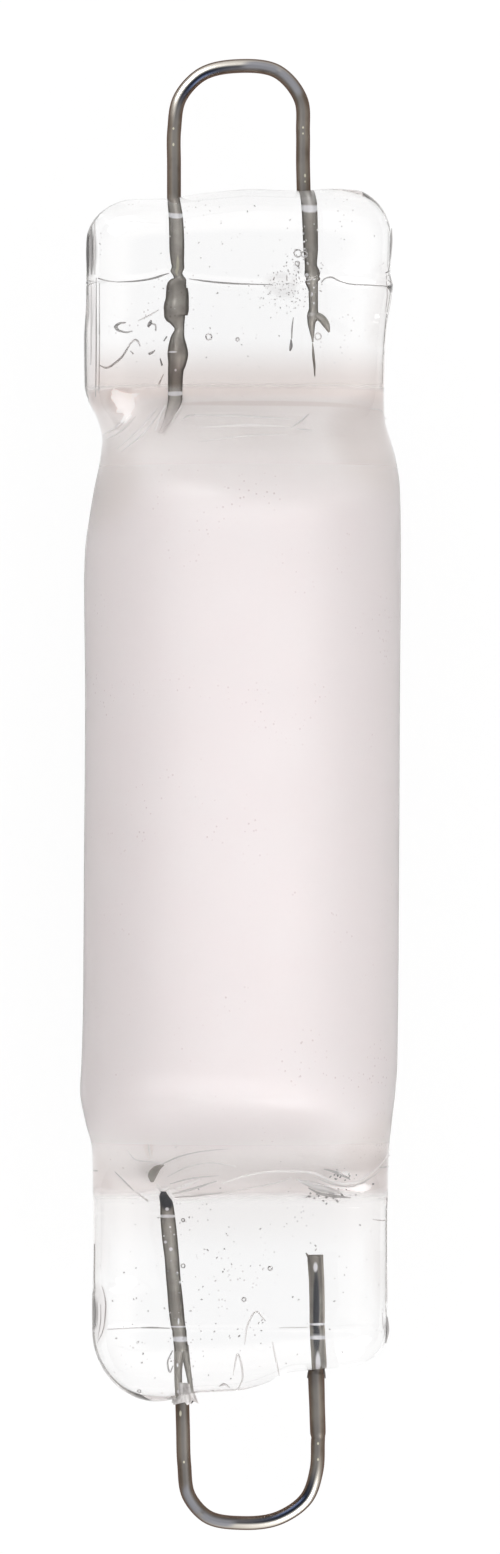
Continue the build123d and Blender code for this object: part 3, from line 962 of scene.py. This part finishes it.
def placeCollar(ring, angle):
    t = ring / (collar["rings"] - 1)
    column, row, half = (
        between(top, bottom, share)
        for top, bottom, share in zip(collar["top"], collar["bottom"], (t, t, t ** collar["flare"]))
    )
    torn = sum(share * math.sin(count * angle + shift) for count, shift, share in collar["tears"])
    half *= 1 + collar["tearSpread"] * t * torn
    row += collar["tearDepth"] * torn * t ** 3
    return spot(column + half * math.cos(angle), row, half * collar["thickness"] * math.sin(angle))


chipMaterial, tree = newMaterial("chipped_glass")
place, x, y, z = readPlace()
stretch = addNode("Mapping")
setInputs(stretch, Vector=place, Scale=collar["streakScale"])
streaks = patchMask(stretch.outputs[0], *collar["streaks"])
setSurface(
    Base_Color=blendColour(streaks, collar["streakDark"], collar["streakLight"]), Roughness=0.4,
    Normal=relief(streaks, *collar["ridges"]),
)
collarPiece = ringedTube("glass_collar", collar["sides"], collar["rings"], placeCollar, wires["merge"])
finishPiece(collarPiece, chipMaterial)


# Bubbles, creases and specks in the pressed glass, and painted highlights and painted shade of its folds and
# sides

sealFlawsAndShading = {
    "below": 7,  # pixels under the upper surface
    "strokes": [  # brightness, then (column, row, half width) along each stroke: creases, and painted highlights and painted shade
        (0.40, [(127, 324.6, 0.5), (120.5, 325.5, 1.2), (116.8, 328.8, 1.7), (119.5, 332.5, 1.3)]),
        (0.48, [(119.5, 332.5, 1.1), (128, 334.2, 0.9), (133.3, 333, 0.5)]),
        (0.26, [(148.4, 328.8, 0.8), (150.6, 325.6, 1.9), (151.8, 322.2, 0.6)]),
        (0.52, [(151, 325.4, 0.9), (155.6, 326.8, 0.8), (156.3, 333, 0.7)]),
        (0.28, [(164.2, 343.3, 0.6), (167.4, 338.5, 0.8)]),
        (0.66, [(102, 366.9, 0.5), (107.8, 369.4, 0.9), (113, 367.4, 1.1)]),
        (0.52, [(113, 367.4, 1.0), (123, 358.6, 1.1), (128.8, 349.6, 0.8)]),
        (0.64, [(128.8, 349.6, 0.8), (133.3, 343.3, 0.9), (136.5, 341.7, 1.0), (139, 343.9, 0.9),
                (141, 348.4, 0.4)]),
        (0.55, [(131.4, 352.8, 0.5), (134.2, 356, 0.8)]),
        (0.50, [(149.2, 356, 1.2), (152.4, 354.8, 1.2), (155.6, 352.2, 0.5)]),
        (0.28, [(160.7, 360.5, 0.6), (162.6, 367.5, 1.0)]),
        (0.80, [(163.9, 376.4, 0.5), (158.8, 387.3, 0.8)]),
        (0.36, [(293, 319.6, 0.4), (291.6, 332.3, 0.8), (291.4, 341, 0.5)]),
        (0.20, [(290.8, 341.5, 0.6), (290.6, 349.6, 1.5), (289.6, 353, 0.6)]),
        (0.62, [(101.4, 324.8, 0.5), (101.4, 335.6, 0.8)]),
        (0.82, [(139, 322.9, 0.4), (150, 317.4, 0.7), (159.4, 312, 0.4)]),
        # line that the jaws left
        (0.62, [(100.4, 279.7, 0.7), (108, 282.5, 0.6), (119, 283.9, 0.5)]),
        (0.34, [(118, 283.9, 0.5), (136.2, 283.2, 0.9), (151.2, 281, 1.1), (160, 278.5, 1.2),
                (169.6, 275, 0.5)]),
        (0.40, [(189.2, 280.9, 0.4), (198.5, 282.2, 0.8), (217, 284.5, 1.1), (235.4, 285.7, 1.1),
                (251.5, 286.2, 0.8), (272.3, 286.9, 0.4)]),
        (0.50, [(320.8, 285, 0.5), (325.4, 279.7, 0.8), (331.2, 278.8, 0.8), (337, 281.5, 0.8),
                (348.5, 285.7, 0.8), (367, 286.9, 0.7), (385.4, 287.3, 0.4)]),
        (0.50, [(383, 274.6, 0.5), (387, 272.5, 1.0), (390, 271, 0.5)]),
        # painted shade streaks down the sides
        (0.50, [(98.5, 279, 0.5), (98.5, 330, 0.8), (98, 398, 0.5)]),
        (0.70, [(101.5, 285, 0.4), (101.5, 335, 0.6), (101, 395, 0.4)]),
        (0.70, [(386, 233, 0.4), (385.5, 268, 0.6)]),
        (0.70, [(384, 276, 0.4), (385, 298, 0.8), (383, 313, 0.4)]),
        # upper shoulder: painted highlights and painted shade of the folds in the glass
        (0.74, [(182, 424.6, 0.5), (188, 420.5, 1.3), (196, 419, 0.6)]),
        (0.84, [(196, 419, 0.8), (244.6, 420.5, 1.6), (290.8, 423.3, 0.5)]),
        (0.86, [(198.5, 447, 0.4), (249.2, 440.8, 1.4), (286.2, 439.6, 0.4)]),
        (0.96, [(200, 432, 0.5), (246, 430, 2.2), (288, 431, 0.5)]),
        (0.78, [(290.8, 432.7, 0.5), (300, 426, 1.2), (308, 418.5, 0.7)]),
        (0.76, [(296, 433.5, 0.5), (304.6, 434.5, 1.0), (312, 435, 0.5)]),
        (0.97, [(104, 436.2, 0.5), (118, 430, 1.6), (132, 416.4, 0.6)]),
        (0.97, [(120, 451.5, 0.5), (142, 433, 1.6), (158, 412, 0.6)]),
        (0.84, [(108, 441, 0.4), (122, 435, 1.4), (137, 420, 0.4)]),
        (0.84, [(124, 455, 0.4), (146, 437, 1.4), (161, 416, 0.4)]),
        (0.97, [(182.5, 409, 0.6), (177, 419, 1.4), (172, 428, 0.5)]),
        (0.97, [(166, 409, 0.6), (161, 421, 1.4), (156, 436, 0.5)]),
        (0.80, [(367, 410.8, 0.4), (380, 412.5, 0.8), (386, 419, 0.4)]),
        # lower shoulder: painted highlights and painted shade of the folds in the glass
        (0.78, [(129.2, 1145.4, 0.4), (136.2, 1154.6, 0.9), (150, 1157, 0.9), (161.5, 1158, 0.5)]),
        (0.80, [(150, 1132.7, 0.4), (150.4, 1143, 1.1), (152, 1153, 0.5)]),
        (0.62, [(161.5, 1160.4, 0.9), (177.7, 1152.3, 1.1), (198.5, 1146.5, 1.0), (228.5, 1143, 0.4)]),
        (0.78, [(168.5, 1173, 0.5), (184.6, 1163.8, 1.1), (210, 1158, 1.1), (235.4, 1161.5, 0.4)]),
        (0.99, [(157, 1180, 0.8), (163, 1187, 2.6), (170, 1184.5, 1.0)]),
        (0.66, [(170.8, 1181.2, 0.5), (189.2, 1175.4, 1.0), (219.2, 1172, 0.4)]),
        (0.64, [(173, 1191.5, 0.6), (189, 1187, 1.2), (217, 1177.7, 0.5)]),
        (0.99, [(176, 1187, 0.6), (188, 1181.5, 2.4), (200, 1176.3, 0.6)]),
        (0.62, [(175.4, 1195, 0.5), (198.5, 1192.7, 1.0), (222, 1190, 0.5)]),
        (0.84, [(222, 1190, 0.6), (250, 1185, 0.9), (281.5, 1177.7, 0.9), (290.8, 1174.2, 0.4)]),
        (0.99, [(221.5, 1180, 0.5), (256, 1169.6, 1.6), (290.8, 1167.3, 1.8), (313.8, 1169.6, 1.6),
                (332.3, 1177.7, 1.6), (350.8, 1180, 1.6), (369.2, 1170.8, 1.3), (390, 1150, 0.8)]),
        (0.74, [(313.8, 1173, 0.4), (332.3, 1181, 0.9), (350.8, 1183.4, 0.9), (371, 1174, 0.8),
                (390, 1155, 0.4)]),
        (0.46, [(323, 1165, 0.5), (337, 1169.6, 1.6), (348.5, 1175.4, 0.8)]),
        (0.74, [(296, 1176, 1.0), (316, 1183, 4.2), (340, 1192, 1.0)]),
        (0.42, [(308, 1185, 0.4), (318, 1190.2, 1.0), (334, 1194, 1.2), (350, 1196.3, 0.4)]),
        (0.50, [(116.5, 1168.5, 0.4), (127, 1180, 0.8), (135, 1189, 0.4)]),
        (0.60, [(136, 1189.5, 0.4), (148.8, 1199.6, 0.7)]),
        (0.62, [(94, 1170, 0.4), (100, 1169.3, 0.7)]),
        (0.62, [(376, 1165, 0.4), (384, 1166, 1.0), (389, 1166, 0.4)]),
        (0.78, [(371.5, 1218, 0.3), (380, 1219.4, 0.6), (388, 1219, 0.3)]),
        # lower jaw line and what is below it
        (0.78, [(109.6, 1327.7, 0.4), (127, 1326.2, 0.6), (143, 1325.4, 0.4)]),
        (0.46, [(142, 1325.4, 0.5), (150, 1325.2, 0.9), (170.8, 1325.9, 0.4)]),
        (0.72, [(279, 1325.4, 0.3), (295, 1325, 0.6), (308, 1325, 0.4)]),
        # painted shade bands along the left and right edges
        (0.78, [(104, 1284, 0.4), (107.2, 1296, 0.7), (107.2, 1316, 0.8), (105, 1330, 0.7),
                (99, 1342, 0.4)]),
        (0.66, [(103, 1303, 0.4), (103, 1318, 0.7), (100, 1338, 0.4)]),
        (0.70, [(380, 1311.5, 0.4), (381, 1327.7, 0.8)]),
        (0.90, [(233, 1371.5, 0.4), (237.7, 1351, 0.9), (242.3, 1375, 0.9), (236, 1389, 0.4)]),
        (0.92, [(244.6, 1341.5, 0.4), (249.2, 1318.5, 0.9), (256, 1309, 0.9), (265.4, 1318.5, 0.4)]),
        (0.86, [(272.3, 1339, 0.4), (275.8, 1358, 0.7), (279, 1376, 0.4)]),
        (0.74, [(219, 1383, 0.5), (224, 1380.5, 1.4), (229.6, 1384, 0.5)]),
        (0.40, [(173, 1347.3, 0.5), (168, 1360, 0.8), (170.3, 1368.8, 0.8), (173.5, 1362.3, 0.5)]),
    ],
    "sideStreaks": [  # painted shade at the sides: brightness, height, then (column, row, half width) along the streak
        (0.10, 10, [(88, 234, 0.5), (87.6, 250, 1.3), (88, 277, 0.5)]),
        (0.22, 24, [(91.8, 228, 0.6), (91.6, 245, 1.5), (92, 276, 0.6)]),
        (0.40, 38, [(95.4, 224, 0.5), (95.2, 250, 0.9), (95.6, 277, 0.4)]),
        (0.45, 24, [(91.5, 285, 0.5), (91.8, 330, 0.9), (91, 366, 0.5)]),
        (0.55, 12, [(88, 296, 0.4), (87.6, 320, 0.7), (87, 345, 0.4)]),
        (0.35, 20, [(391.4, 229.6, 0.4), (391, 245, 1.0), (389.6, 262, 0.4)]),
        (0.22, 16, [(94.8, 1296, 0.5), (94.8, 1311, 1.2), (95.2, 1324, 0.5)]),
        (0.28, 20, [(387, 1316, 0.5), (387.4, 1329, 1.5), (385.5, 1342, 0.5)]),
    ],
    "bubbles": [  # column, row, radius, half width, brightness
        (297.5, 256, 3.6, 0.7, 0.58), (304, 257, 3, 0.6, 0.6), (209, 339, 3, 0.8, 0.72),
        (237.5, 341.5, 1.6, 0.7, 0.6), (317.5, 338.5, 3.2, 0.7, 0.78), (244, 1297, 2, 0.7, 0.66),
        (270, 1266, 2, 0.8, 0.66), (183.5, 1263.5, 2, 0.6, 0.5), (183.5, 1218, 1.6, 0.6, 0.5),
        (140, 1388, 1.6, 0.6, 0.5), (297, 266, 2.2, 0.6, 0.5),
    ],
    "specks": [  # column, row, spread across, spread along, count, smallest and largest radius, brightness
        (288, 290, 15, 14, 150, 0.3, 0.8, 0.58), (240, 310, 80, 45, 60, 0.3, 0.8, 0.55),
        (262, 232, 80, 22, 50, 0.3, 0.8, 0.55), (240, 1265, 90, 55, 100, 0.3, 0.9, 0.5),
        (196, 1250, 22, 40, 30, 0.4, 1.0, 0.45), (325, 1191, 16, 4, 34, 0.5, 1.3, 0.28),
        (338, 1171, 9, 3, 18, 0.5, 1.2, 0.32), (250, 1350, 70, 24, 40, 0.3, 0.9, 0.6),
        (150, 1350, 30, 24, 24, 0.4, 1.0, 0.5), (300, 262, 5, 7, 10, 0.5, 1.1, 0.4),
    ],
    "bounds": (104, 380),  # columns that the specks stay between
    "firstSpeck": (250, 300, 0.5, 0.5),  # column, row, radius, brightness
    "speckDepths": (0.6, 1.0),
    "speckLengths": (1, 1.9),
    "speckTones": (0.7, 1.3),
    "speckHeight": 0.7,
    "seed": 11,
    "sides": 8,
    "bubbleCorners": 8,
    "black": (0.0, 0.0, 0.0, 1),
    "white": (1.0, 0.975, 0.965, 1),
    "toneGrain": 2400.0,
    "toneShare": 0.12,
}

# strokes take their brightness: real creases, bubbles and specks, and painted highlights and painted shade
flawAndShadingMaterial, tree = newMaterial("seal_flaw_and_shade")
place, x, y, z = readPlace()
uneven = times(grain(place, sealFlawsAndShading["toneGrain"]), sealFlawsAndShading["toneShare"])
brightness = combine("ADD", readMark("brightness"), uneven)
setSurface(Base_Color=blendColour(brightness, sealFlawsAndShading["black"], sealFlawsAndShading["white"]), Roughness=0.5)

flawsAndShading = []


def underSurface(row, column):
    return max(surfaceAt(row, column) - sealFlawsAndShading["below"], 0.0)


def addFlawOrShading(name, level, line, height=underSurface):
    flawOrShade = thinStroke(name, line, height, sealFlawsAndShading["sides"])
    setMark(flawOrShade, "brightness", [level] * len(flawOrShade.data.vertices))
    flawsAndShading.append(flawOrShade)


for level, line in sealFlawsAndShading["strokes"]:
    addFlawOrShading("seal_crease_and_shade", level, line)
for level, height, line in sealFlawsAndShading["sideStreaks"]:
    addFlawOrShading("side_streak", level, line, lambda row, column: height)
for column, row, radius, half, level in sealFlawsAndShading["bubbles"]:
    corners = sealFlawsAndShading["bubbleCorners"]
    turns = [math.radians(360 / corners * i) for i in range(corners + 1)]
    line = [(column + radius * math.cos(a), row + radius * math.sin(a), half) for a in turns]
    addFlawOrShading("seal_bubble", level, line)

# specks: small uneven grains, all in one mesh
random.seed(sealFlawsAndShading["seed"])
column, row, radius, level = sealFlawsAndShading["firstSpeck"]
selectOnly()
bpy.ops.mesh.primitive_ico_sphere_add(subdivisions=1, radius=radius * pixel, location=spot(column, row))
speckPiece = bpy.context.object
levels = [level]
bpy.ops.object.transform_apply(location=True, rotation=True, scale=True)
bpy.ops.object.mode_set(mode="EDIT")
for column, row, spreadAcross, spreadAlong, count, smallest, largest, level in sealFlawsAndShading["specks"]:
    for i in range(count):
        low, high = sealFlawsAndShading["bounds"]
        atColumn = min(max(random.gauss(column, spreadAcross), low), high)
        atRow = random.gauss(row, spreadAlong)
        radius = random.uniform(smallest, largest) * pixel
        depth = underSurface(atRow, atColumn) * random.uniform(*sealFlawsAndShading["speckDepths"])
        turn, longer = random.uniform(0, math.pi), random.uniform(*sealFlawsAndShading["speckLengths"])
        tone = level * random.uniform(*sealFlawsAndShading["speckTones"])
        if depth > 0:
            bpy.ops.mesh.primitive_ico_sphere_add(
                subdivisions=1, radius=radius, location=spot(atColumn, atRow, depth),
                rotation=(0, 0, turn), scale=(longer, 1, sealFlawsAndShading["speckHeight"]),
            )
            levels.append(tone)
bpy.ops.object.mode_set(mode="OBJECT")
speckPoints = len(speckPiece.data.vertices) // len(levels)
setMark(speckPiece, "brightness", [level for level in levels for i in range(speckPoints)])
flawAndShadingPiece = flawsAndShading[0]
joinInto(flawAndShadingPiece, flawsAndShading[1:] + [speckPiece])
flawAndShadingPiece.name = "seal_flaws_and_shade"
finishPiece(flawAndShadingPiece, flawAndShadingMaterial)


# Floor, light and camera

studio = {
    "floorSize": 0.6,
    "floorColour": (0.9, 0.9, 0.9, 1),
    "floorBounce": (0.5, 0.48, 0.47, 1),  # what the floor throws back at the lamp
    "floorShadow": 0.075,  # share of the floor that shows shade
    "floorReach": (0.008, 0.03),  # over this the floor grows darker in reflections
    "floorDim": 0.45,
    "bounces": (0.2, 0.8),  # past these, light that comes off the frost sees the plain floor
    "sky": [  # sine of the height above the horizon, level, tint
        (0.0, 0.1, (1, 0.98, 0.96)), (0.4, 0.46, (1, 0.98, 0.96)), (0.68, 1.1, (1, 0.99, 0.98)),
        (0.9, 1.1, (1, 0.99, 0.98)), (0.975, 0.4, (0.86, 0.93, 1)),
    ],
    "skyEnds": (0.85, 0.84, 0.83, 1),  # least level beyond the two ends of the lamp
    "skyLower": (1.15, 1.14, 1.13, 1),  # and beyond its lower end
    "skyTurn": (0.45, 0.85),
    "skyLeft": 0.45,  # how much darker the left side is
    "skyLeftReach": (-0.9, -0.1),
    "lamps": [("lamp_upper_left", 135, 120), ("lamp_lower_right", -45, 1460)],  # name, heading, row aimed at
    "lampRise": 40,
    "lampSize": 0.11,
    "lampDistance": 0.2,
    "lampSpread": 75,
    "lampPower": 0.05,
    "lens": 200,
    "sensor": 36,
    "nearest": 0.01,
    "furthest": 10,
}

selectOnly()
bpy.ops.mesh.primitive_plane_add(size=studio["floorSize"], location=(0, 0, 0))
floor = bpy.context.object
floor.name = "floor"
floorMaterial, tree = newMaterial("white_floor")
tree.nodes.remove(tree.nodes["Principled BSDF"])
place, x, y, z = readPlace()
rays = addNode("LightPath").outputs
bounced = stepMask(rays["Diffuse Depth"], *studio["bounces"])
matt, white, mixed = addNode("BsdfDiffuse"), addNode("Emission"), addNode("MixShader")
setInputs(matt, Color=blendColour(bounced, studio["floorColour"], studio["floorBounce"]))
dim = times(stepMask(combine("ABSOLUTE", x), *studio["floorReach"]), studio["floorDim"])
indirect = times(
    combine("ADD", rays["Is Glossy Ray"], rays["Is Transmission Ray"]), combine("SUBTRACT", 1.0, dim),
    combine("SUBTRACT", 1.0, bounced),
)
seen = combine("MINIMUM", combine("ADD", rays["Is Camera Ray"], indirect), 1.0)
feed(mixed.inputs[0], times(seen, 1 - studio["floorShadow"]))
feed(mixed.inputs[1], matt.outputs[0])
feed(mixed.inputs[2], white.outputs[0])
setInputs(tree.nodes["Material Output"], Surface=mixed.outputs[0])
floor.data.materials.append(floorMaterial)

world = bpy.data.worlds.new("studio")
bpy.context.scene.world = world
world.use_nodes = True
tree = world.node_tree
place, x, y, z = readPlace("Generated")
ramp = addNode("ValToRGB")
ramp.color_ramp.interpolation = "EASE"
while len(ramp.color_ramp.elements) < len(studio["sky"]):
    ramp.color_ramp.elements.new(0.5)
for stop, (sine, level, hue) in zip(ramp.color_ramp.elements, studio["sky"]):
    stop.position = sine
    stop.color = (level * hue[0], level * hue[1], level * hue[2], 1)
feed(ramp.inputs[0], z)
ends = stepMask(combine("ABSOLUTE", y), *studio["skyTurn"])
sky = blendColour(ends, ramp.outputs[0], studio["skyEnds"], "LIGHTEN")
lower = stepMask(y, *[-turn for turn in studio["skyTurn"]])
sky = blendColour(lower, sky, studio["skyLower"], "LIGHTEN")
level = ranged(x, *studio["skyLeftReach"], 1 - studio["skyLeft"], 1.0)
setInputs(tree.nodes["Background"], Color=sky, Strength=level)

for name, heading, aimRow in studio["lamps"]:
    turn, rise = math.radians(heading), math.radians(studio["lampRise"])
    away = Vector((math.cos(turn) * math.cos(rise), math.sin(turn) * math.cos(rise), math.sin(rise)))
    aim = spot(photo["axisColumn"], aimRow)
    bpy.ops.object.light_add(type="AREA", location=aim + away * studio["lampDistance"])
    lamp = bpy.context.object
    lamp.name = name
    lamp.rotation_euler = away.to_track_quat("Z", "Y").to_euler()
    lamp.data.size = studio["lampSize"]
    lamp.data.energy = studio["lampPower"]
    lamp.data.spread = math.radians(studio["lampSpread"])

cameraHeight = photo["height"] * pixel * studio["lens"] / studio["sensor"]
centre = spot(photo["width"] / 2, photo["height"] / 2)
bpy.ops.object.camera_add(location=centre + Vector((0, 0, cameraHeight)), rotation=(0, 0, 0))
camera = bpy.context.object
camera.data.sensor_fit = "VERTICAL"
camera.data.sensor_height = studio["sensor"]
camera.data.lens = studio["lens"]
camera.data.clip_start = studio["nearest"]
camera.data.clip_end = studio["furthest"]
bpy.context.scene.camera = camera
bpy.context.scene.view_settings.view_transform = "Standard"
print("stage set")
